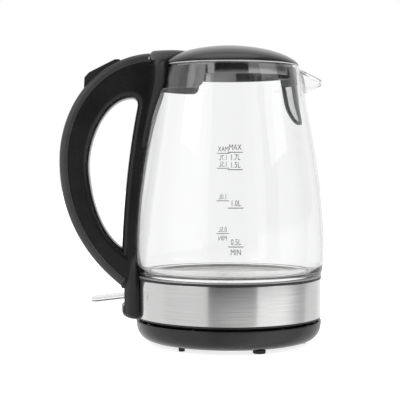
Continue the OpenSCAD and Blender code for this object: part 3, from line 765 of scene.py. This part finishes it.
def jug_underside():
    edge = box_mm("jug_bottom_cover")[1].x
    profile = [(16.05, 16), (65, 16), (67, 17), (edge, 21.6), (edge, 22.7), (74.5, 22.7), (74.5, 24),
               (72.5, 24), (72.5, 21.6), (65.5, 19), (64, 18), (18, 18), (18, 30), (16.05, 30)]
    radii = [0.3, 1, 2, 0.35, 0.35, 0, 0, 0, 0, 0, 0, 0, 0.3, 0.3]
    body = lathe("jug_underside", rounded(profile, radii), 192)
    for a in thirds(90):
        boolean(body, rod((58 * math.cos(a), 58 * math.sin(a), 15.5), (0, 0, 1), SCREW_HEAD_R, 3, 32))
    finish_piece(smooth(body, 40), "jug", "black_plastic", "jug_bottom_cover")


def steel_band():
    radius, z0, z1 = BAND_HIGH.x, BAND_LOW.z, BAND_HIGH.z
    sheet = 0.8
    profile = [(radius - sheet, z0), (radius, z0), (radius, z1), (73.5, z1), (73.5, z1 - sheet),
               (radius - sheet, z1 - sheet)]
    band = lathe("brushed_band", rounded(profile, [0.2, 0.35, 0.7, 0, 0, 0], 6), 256)
    boolean(band, block((-80, -66), (-9, 9), LEVER_SLOT_Z))
    finish_piece(smooth(band, 40), "jug", "brushed_steel", "steel_band")


def seat_ring():
    """The ring that the glass stands on. Its top is a hair low, so that it doesn't coincide with the glass."""
    inner, outer, z0, z1 = 66.8, GASKET_HIGH.x, GASKET_LOW.z, GASKET_HIGH.z - 0.05
    profile = rounded([(inner, z0), (outer, z0), (outer, z1), (inner, z1)], [0, 0.5, 0.8, 0.2])
    ring = lathe("glass_seat_ring", profile, 192)
    # The ring's pale inner part is painted reflection
    finish_piece(smooth(ring, 60), "jug", "black_silicone", "glass_gasket", material=SEAT_SEAL_PAINTED_REFLECTION)


def hot_plate():
    """Pressed plate with a raised middle, a shallow groove and a beaded edge."""
    top = 55.2
    upper = [(0, top + 0.8), (51.6, top + 0.8), (52.6, top + 0.6), (53.4, top + 0.1), (54.2, top), (61.6, top),
             (62.8, top + 0.2), (63.6, top + 0.8), (64.4, top + 1.15), (65.2, top + 1.1), (65.8, top + 0.6)]
    lower = [(65.8, 50), (65, 50), (65, 54.3), (64.6, 55.2), (63.9, 55.4), (62.9, 54.6), (53, 54.4),
             (52, 54.85), (0, 54.85)]
    plate = lathe("heating_plate_top", upper + lower, 192)
    finish_piece(smooth(plate, 50), "jug", "plate_steel", "heating_plate")


# ---------------------------------------------------------------- handle

BUTTON_ENDS = (Vector((-117.9, 208.2)), Vector((-88.2, 230.5)))
BUTTON_GAP = 0.35
BUTTON_W = box_mm("lid_button")[1].y - box_mm("lid_button")[0].y
DOWN = Vector((PRESS.x, PRESS.z))
EDGE_R = 5.2                    # rounding of the grip's edges
SEAT_R = 5.7                    # seat of the lid's knuckle
SEAM = 0.35                     # gap between the handle's cover and its body
FOOT_AXIS_X, FOOT_R, FOOT_BACK_X = 58, 30.0, 66
COLLAR_R = 45.2                 # the collar's back is a leaning cylinder
COLLAR_AXIS_X = -21.0
COLLAR_LEAN = math.radians(6.6)
COLLAR_EDGE = 1.6
COLLAR_LOW, COLLAR_TOP = 160, 229.9
# Rooms cut out of the body: the latch's, and the lever's recess and its two slots
ROOMS = (((-96.5, -65.9), (4.4, 12), (205.4, 229.8)),
         ((-92, -85.6), (-15, 15), (31.8, 46)),
         ((-92, -74), (-10.6, 10.6), (LEVER_SLOT_Z[0], 46)),
         ((-85.3, -74), (-8.8, 8.8), (45.5, LEVER_SLOT_Z[1])))


def strip_cutter(depth, grow):
    """The space of the handle's outer cover, down to a depth below the outline."""
    outer = beside(HANDLE_OUTLINE, -4)
    inner = beside(HANDLE_OUTLINE, depth)
    start = Vector(HANDLE_OUTLINE[0]) - Vector(HANDLE_OUTLINE[1])
    finish = Vector(HANDLE_OUTLINE[-1]) - Vector(HANDLE_OUTLINE[-2])
    start, finish = start.normalized() * 9, finish.normalized() * grow
    loop = [tuple(Vector(outer[0]) + start)] + outer + [tuple(Vector(outer[-1]) + finish)]
    loop += [tuple(Vector(inner[-1]) + finish)] + inner[::-1] + [tuple(Vector(inner[0]) + start)]
    return prism(loop, (-30, 30))


def button_window():
    chord = (BUTTON_ENDS[1] - BUTTON_ENDS[0]).normalized()
    low, high = BUTTON_ENDS[0] - BUTTON_GAP * chord, BUTTON_ENDS[1] + BUTTON_GAP * chord
    loop = [tuple(p) for p in (low - 12 * DOWN, low + 11.5 * DOWN, high + 11.5 * DOWN, high - 12 * DOWN)]
    half = BUTTON_W / 2 + BUTTON_GAP
    return prism(loop, (-half, half))


def handle_blank():
    """Side view of grip, strap and foot with its finger gap, rounded along its edges."""
    outline = [(-50, 236.6), (-58, 236.5)] + HANDLE_OUTLINE + [(-87.1, 44)]
    foot = rounded([(-87.1, 44), (-87.1, 25.2), (-84.0, 22.0), (-74, HANDLE_LOW.z), (-50, HANDLE_LOW.z)],
                   [0, 3.5, 3, 0, 0])[1:]
    half = GRIP_W / 2
    return slab("blank", [outline + foot, FINGER_GAP], -half, half, EDGE_R, steps=5)


def foot_block():
    """The broad foot that wraps the band, drawn in to the strap's width at its top."""
    # height, half width, and how far the outer face lies back from the foot's cylinder
    levels = [(HANDLE_LOW.z, 17.5, 4.2), (22.0, 18.9, 2.6), (23.0, 20.0, 1.4), (24.6, 20.8, 0.5), (26.6, 21, 0),
              (44, 21, 0), (49, 20.8, 0.2), (55, 20.1, 0.8), (61, 18.9, 1.8), (67, 17.3, 3.2), (73, 15.5, 5.0),
              (78, 13.8, 7.0)]
    sections = []
    for z, half, inset in levels:
        ring = []
        for i in range(41):
            a = math.pi * (i / 40 - 0.5)
            share = math.copysign(abs(math.sin(a)) ** 0.6, a)
            y = half * share
            front = FOOT_AXIS_X + math.sqrt(FOOT_R**2 - y * y) - inset
            reach = (front - FOOT_BACK_X) * max(0.0, 1 - abs(share) ** 7) ** (1 / 7)
            ring.append((-FOOT_BACK_X - reach, y, z))
        sections.append(ring)
    return loft("foot", sections)


def collar_block():
    """The collar round the neck, which widens upward from the strap and holds the lid's hinge."""
    edge = [(15.5, COLLAR_LOW), (17.8, 175), (22, 190), (27, 203), (30, 212), (30.2, 220), (29.4, 227.6),
            (28.2, COLLAR_TOP)]
    sections = []
    rows = 28
    for k in range(rows + 1):
        z = COLLAR_LOW + (COLLAR_TOP - COLLAR_LOW) * k / rows
        half = at_height(edge, z)
        top = max(0.0, z - (COLLAR_TOP - COLLAR_EDGE))
        inset = COLLAR_EDGE - math.sqrt(max(0.0, COLLAR_EDGE**2 - top**2))
        axis = COLLAR_AXIS_X - (COLLAR_TOP - z) * math.tan(COLLAR_LEAN)
        ring = [(-45, half, z), (-45, -half, z)]
        for i in range(33):
            share = 2 * i / 32 - 1
            y = half * share
            back = axis - math.sqrt((COLLAR_R - inset)**2 - y * y)
            ring.append((back + 2.2 * abs(share) ** 14, y, z))
        sections.append(ring)
    return loft("collar", sections)


def trimmed(obj):
    """Cuts away where the glass, the band, the lid and the hinge's knuckle are."""
    boolean(obj, glass_solid(CLEAR))
    for radius, z0, z1, turns in ((76.3, 15, GASKET_TOP, 192), (57.8, RIM_Z - 1, 245, 160)):
        boolean(obj, lathe("cutter", [(0, z0), (radius, z0), (radius, z1), (0, z1)], turns))
    boolean(obj, block((-65.8, -40), (-40, 40), (COLLAR_TOP, 250)))
    return boolean(obj, rod(PIN, (0, 1, 0), SEAT_R, 30, 64))


def handle():
    """The cover and the body are the two parts of one blank, either side of the seam."""
    cover = handle_blank()
    body = cover.copy()
    body.data = cover.data.copy()
    link(body)
    boolean(cover, strip_cutter(COVER_DEPTH, 0), "INTERSECT")
    boolean(cover, button_window())
    boolean(cover, rod(PIN, (0, 1, 0), SEAT_R, 60, 64))
    boolean(cover, block((-64.6, -40), (-30, 30), (225, 250)))
    cover.name = "grip_cover"
    smooth(cover, 34, weighted=True)
    # The cover is lighter than the body: painted light
    finish_piece(cover, "jug", "handle_plastic", "handle_cover", material=COVER_PAINTED_LIGHT)

    boolean(body, strip_cutter(COVER_DEPTH + SEAM, SEAM))
    boolean(body, foot_block(), "UNION")
    boolean(body, collar_block(), "UNION")
    trimmed(body)
    boolean(body, button_window())
    for room in ROOMS:
        boolean(body, block(*room))
    body.name = "handle_grip"
    knuckle = boolean(rod((PIN.x, -2, PIN.z), (0, 1, 0), 3.6, 8), rod(PIN, (0, 1, 0), PIN_R, 40))
    ear = joined("hinge_ear", [knuckle, block((-60.9, -57.9), (-6, 2), (226.4, PIN.z - 2.5))])
    finish_piece(smooth(body, 34, weighted=True), "jug", "handle_plastic", "handle_body")
    finish_piece(smooth(ear, 34), "jug", "handle_plastic")


def button():
    start, finish = BUTTON_ENDS
    depth = 6.5 * DOWN
    top = [tuple(start), (-117.5, 216.6), (-113.8, 220.7), (-94.7, 230.5), (-92.4, 231.4), (-89.5, 231.4),
           tuple(finish), tuple(finish + depth), tuple(start + depth)]
    outline = rounded(top, [0, 2.5, 3, 2.5, 1, 1, 0, 0, 0])
    key = slab("release_key", [outline], -BUTTON_W / 2, BUTTON_W / 2, 0.8)
    finish_piece(smooth(key, 34, weighted=True), "release_button", "button_plastic", "lid_button")


def lever():
    """Clear paddle with a round outer end, on a hub round its pin."""
    length, half, thick, end_r = 43.0, 10.0, 4.0, 14.0
    neck_x, neck_y = -14.6, 5.4
    reach = math.asin(half / end_r)
    end = [(-length + end_r - end_r * math.cos(a), end_r * math.sin(a))
           for a in (reach * (i / 8 - 1) for i in range(17))]
    outline = end[::-1] + [(neck_x, -half), (neck_x, -neck_y), (-1, -neck_y), (-1, neck_y), (neck_x, neck_y),
                           (neck_x, half)]
    radii = [2] + [0] * 15 + [2, 1.5, 1.0, 0, 0, 1.0, 1.5]
    paddle = slab("paddle", [rounded(outline, radii, 4)], -thick / 2, thick / 2, 1.1, plane="XY")
    boolean(paddle, rod((0, 0, 0), (0, 1, 0), 3.4, 2 * neck_y), "UNION")
    boolean(paddle, rod((0, 0, 0), (0, 1, 0), 1.35, 30))
    slope = Matrix.Rotation(math.radians(-6.4), 4, "Y")
    paddle.data.transform(Matrix.Translation(PIVOT * MM) @ slope)
    paddle.name = "clear_lever"
    finish_piece(smooth(paddle, 34, weighted=True), "switch_lever", "clear_plastic", "switch_lever")


# ---------------------------------------------------------------- lid

LID_R, DOME_H = LID_HIGH.x, LID_HIGH.z - LID_LOW.z
LID_WALL = 2.2
KNUCKLE_R = 5.1


def dome_points(radius, height, steps):
    """Half section of the dome, from its edge to its top, a little flatter than an ellipse."""
    return [(radius * math.sin(a), LID_LOW.z + height * math.cos(a) ** 1.32)
            for a in (math.pi / 2 * (1 - i / steps) for i in range(steps + 1))]


def lid_dome():
    low = LID_LOW.z
    outer = [p for p in dome_points(LID_R, DOME_H, 48) if p[1] > low + 0.3]
    inner = dome_points(LID_R - LID_WALL, DOME_H - LID_WALL, 30)[:0:-1]
    edge = [(LID_R - 1.9, low), (LID_R - 0.7, low), (LID_R - 0.2, low + 0.15)]
    dome = lathe("lid_dome", edge + outer + inner, 224)
    finish_piece(smooth(dome, 40), "lid", "lid_plastic", "lid_cover")


def hinge_cap():
    """The cap between dome and handle, with its knuckle round the pin and room for the ear."""
    front_x, half, ear_half = -35.5, 14.0, 6.3
    knuckle = [(PIN.x + KNUCKLE_R * math.cos(a), PIN.z + KNUCKLE_R * math.sin(a))
               for a in (math.radians(90 + 180 * i / 24) for i in range(25))]
    top = bezier((front_x, 238.0), (-43, 239.1), (-53, 238.7), (PIN.x, PIN.z + KNUCKLE_R), 12)
    outline = top + knuckle[1:] + [(-54, 229.0), (-46, 229.5), (front_x, 235.0)]
    cap = slab("hinge_cap", [outline], -half, half, 3.2, steps=6)
    boolean(cap, lathe("cutter", dome_points(LID_R, DOME_H, 40) + [(0, LID_LOW.z)], 160))
    boolean(cap, block((-70, -55.5), (-ear_half, ear_half), (220, PIN.z)))
    boolean(cap, rod((PIN.x, 0, PIN.z), (0, 1, 0), 4.0, 2 * ear_half))
    boolean(cap, rod(PIN, (0, 1, 0), PIN_R + 0.05, 26.4))
    # The cap is lighter than the dome: painted light
    finish_piece(smooth(cap, 34, weighted=True), "lid", "lid_plastic", "hinge_cover", material=CAP_PAINTED_LIGHT)


def lid_skirt():
    r, z0, z1 = SKIRT_HIGH.x, SKIRT_LOW.z, SKIRT_HIGH.z
    sheet = 0.8
    profile = [(0, z1 - sheet), (r - sheet, z1 - sheet), (r - sheet, z0), (r, z0), (r, z1), (0, z1)]
    skirt = lathe("lid_skirt_steel", rounded(profile, [0, 1.0, 0.35, 0.35, 0.8, 0], 5), 224)
    finish_piece(smooth(skirt, 40), "lid", "polished_steel", "lid_skirt")


def rim_bracket():
    """Polished strap inside the neck, with rounded lower corners."""
    reach, corner, sheet, steps, rows = 67.0, 6.0, 0.8, 96, 14
    path = [(58.9, 206.5), (58.2, 211), (57.2, 216), (54.8, 224)]
    low, high = path[0][1], path[-1][1]
    sections = []
    for i in range(steps + 1):
        turn = reach * (2 * i / steps - 1)
        from_end = (reach - abs(turn)) * math.pi / 180 * 58
        rise = corner - math.sqrt(max(0, corner**2 - (corner - from_end) ** 2)) if from_end < corner else 0
        levels = [low + rise + (high - low - rise) * k / rows for k in range(rows + 1)]
        ring = [(at_height(path, z), z) for z in levels]
        ring += [(r - sheet, z) for r, z in ring[::-1]]
        a = math.radians(180 + turn)
        sections.append([(r * math.cos(a), r * math.sin(a), z) for r, z in ring])
    strap = smooth(loft("neck_strap", sections), 40)
    # The strap's steel is darkened: painted shade
    finish_piece(strap, "jug", "polished_steel", "rim_bracket", material=NECK_STEEL_PAINTED_SHADE)


# ---------------------------------------------------------------- spout filter

FILTER_CONE = ((60.2, 177.0), (54.8, 224.0))        # radius and height at the bottom and at the top
WINDOW_TOP = 211
GAUZE_LOW = 181.4               # height of the gauze's lowest wire
PITCH, WIRE_R, WAVE = 1.25, 0.10, 0.10              # of the gauze: spacing, wire radius and how far wires weave


def filter_r(z):
    (r0, z0), (r1, z1) = FILTER_CONE
    return r0 + (r1 - r0) * (z - z0) / (z1 - z0)


def tongue(half, top, bottom, waist=200.0):
    """Outline of the filter, seen from the front: straight at the top and round below its waist."""
    side = bezier((half - 1.5, waist), (half - 1.5, waist - 10), (half * 0.64, bottom), (0, bottom), 16)
    return [(half, top)] + side + [(-y, z) for y, z in side[::-1][1:]] + [(-half, top)]


def filter_frame():
    sheet, steps, span = 2.4, 12, (30, 75)
    heights = [177 + 47 * i / steps for i in range(steps + 1)]
    outer = [(filter_r(z), z) for z in heights]
    shell = lathe("filter_rim", outer + [(r - sheet, z) for r, z in outer[::-1]], 240)
    boolean(shell, prism(tongue(27, 223.6, 178.6), span, "YZ"), "INTERSECT")
    boolean(shell, prism(tongue(24.8, WINDOW_TOP, 180.8), span, "YZ"))
    finish_piece(smooth(shell, 30), "spout_filter", "filter_plastic", "filter_frame")


def filter_gauze():
    """Wires woven over and under each other across the frame's window."""
    half_side = [(y, z) for y, z in tongue(25.0, WINDOW_TOP + 0.2, 180.6) if y >= 0]
    paths = []

    def point(y, z, lift):
        r = filter_r(z) - 0.75 + lift
        return (math.sqrt(r * r - y * y), y, z)

    for k in range(int((WINDOW_TOP - 181.2) / PITCH)):
        z = GAUZE_LOW + PITCH * k
        reach = at_height(half_side[::-1], z)
        count = max(4, int(2 * reach / (PITCH / 2)))
        ys = [reach * (2 * i / count - 1) for i in range(count + 1)]
        paths.append([point(y, z, WAVE * math.cos(math.pi * (y / PITCH + k))) for y in ys])
    for k in range(-21, 22):
        y = PITCH * k
        low = min((z for yy, z in half_side if yy >= abs(y)), default=WINDOW_TOP)
        count = max(3, int((WINDOW_TOP - low) / (PITCH / 2)))
        zs = [low + (WINDOW_TOP - low) * i / count for i in range(count + 1)]
        if WINDOW_TOP - low > 2:
            paths.append([point(y, z, -WAVE * math.cos(math.pi * ((z - GAUZE_LOW) / PITCH + k))) for z in zs])
    gauze = joined("woven_gauze", [tube("wire", path, WIRE_R, 5) for path in paths])
    gauze.data.shade_smooth()
    finish_piece(gauze, "spout_filter", "filter_gauze", "filter_mesh")


# ---------------------------------------------------------------- studio

CAMERA_AZIMUTH = math.radians(-4)
CAMERA_DISTANCE = 0.925         # these are in metres
EYE_HEIGHT = 0.150
AIM_LEFT = 0.0236
AIM_HEIGHT = 0.117
LENS = 101.2

# The dark strip that stands before the kettle, in degrees round it, and the softness of its edges
STRIP = (-119, -59)
SOFT = 1.5
# How the walls' light changes round the room: from, to (degrees) and by how much
WALL_LIGHT = 0.68
WALL_STEPS = ((STRIP[0] - SOFT, STRIP[1], 0.32), (-25, 8, -0.48), (12, 17, 0.20), (40, 72, 0.27),
              (120, 150, -0.25))
# Soft boxes: place, size and power
BOXES = (("left_box", (-1.5, -0.9, 1.2), 1.0, 3), ("right_box", (1.6, -0.7, 1.1), 1.0, 3),
         ("top_box", (0, 0.2, 1.9), 1.4, 5))


def floor_plane():
    """A pale floor, lit by itself and kept out of reflections and of the view through the glass, where its
    edge would show."""
    bpy.ops.mesh.primitive_plane_add(size=9, location=(0, 0, -0.0002))
    floor = bpy.context.object
    floor.name = "floor"
    n = Nodes("floor_white")
    n.set(Base_Color=(0.8, 0.8, 0.8, 1), Roughness=0.85, Emission_Color=(1, 1, 1, 1), Emission_Strength=0.78)
    floor.data.materials.append(n.material)
    floor.visible_glossy = False
    floor.visible_transmission = False


def studio_walls():
    """A white world. Only its reflections see the studio: a dark strip in front, and walls that are lighter in
    some directions than in others."""
    world = bpy.data.worlds.new("studio")
    bpy.context.scene.world = world
    world.use_nodes = True
    n = Tree(world.node_tree)
    back = n.tree.nodes["Background"]
    x, y, height = n.add("SeparateXYZ", {0: n.add("TexCoord").outputs["Generated"]}).outputs
    turn = n.math("ARCTAN2", y, x)

    def step(value, start, end, low, high):
        return n.spread(value, low, high, start, end, interpolation_type="SMOOTHSTEP")

    def turn_step(start, end, low, high):
        return step(turn, math.radians(start), math.radians(end), low, high)

    def times(*values):
        product = values[0]
        for value in values[1:]:
            product = n.math("MULTIPLY", product, value)
        return product

    def one_minus(value):
        return n.math("SUBTRACT", 1.0, value)

    left, right = STRIP
    past_strip = turn_step(right - SOFT, right + SOFT, 0, 1)
    strip = times(turn_step(left - SOFT, left + SOFT, 0, 1), turn_step(right - SOFT, right + SOFT, 1, 0),
                  step(height, 0.92, 0.995, 1, 0))
    walls = WALL_LIGHT
    for low, high, change in WALL_STEPS:
        walls = n.math("ADD", walls, turn_step(low, high, 0, change))
    shade = times(past_strip, turn_step(20, 40, 1, 0), step(height, 0.0, 0.05, 0, 0.7))
    light = times(one_minus(times(strip, step(height, -0.11, 0.0, 0.37, 0.97))),
                  times(walls, one_minus(shade)), step(height, 0.3, 1.0, 1, 0.5))
    glossy = n.math("MINIMUM", n.add("LightPath").outputs["Glossy Depth"], 1.0)
    n.put(back.inputs["Strength"], one_minus(times(glossy, one_minus(light))))
    n.put(back.inputs["Color"], (1, 1, 1, 1))


def soft_boxes():
    for name, place, size, power in BOXES:
        light_data = bpy.data.lights.new(name, "AREA")
        light_data.energy = power
        light_data.size = size
        lamp = link(bpy.data.objects.new(name, light_data))
        lamp.location = place
        lamp.rotation_euler = (Vector((0, 0, 0.12)) - Vector(place)).to_track_quat("-Z", "Y").to_euler()


def main_camera():
    camera_data = bpy.data.cameras.new("camera")
    camera_data.lens = LENS
    camera_data.sensor_width = 36
    camera = link(bpy.data.objects.new("camera", camera_data))
    away = Vector((math.sin(CAMERA_AZIMUTH), -math.cos(CAMERA_AZIMUTH), 0))
    right = Vector((math.cos(CAMERA_AZIMUTH), math.sin(CAMERA_AZIMUTH), 0))
    camera.location = away * CAMERA_DISTANCE + Vector((0, 0, EYE_HEIGHT))
    aim = Vector((0, 0, AIM_HEIGHT)) - right * AIM_LEFT
    camera.rotation_euler = (aim - camera.location).to_track_quat("-Z", "Y").to_euler()
    bpy.context.scene.camera = camera
    bpy.context.scene.view_settings.view_transform = "Standard"


paint_cad_nodes()
glass_body()
scale_marks()
base_shell()
feet()
jug_underside()
steel_band()
seat_ring()
hot_plate()
handle()
button()
lever()
lid_dome()
hinge_cap()
lid_skirt()
rim_bracket()
filter_frame()
filter_gauze()
floor_plane()
studio_walls()
soft_boxes()
main_camera()
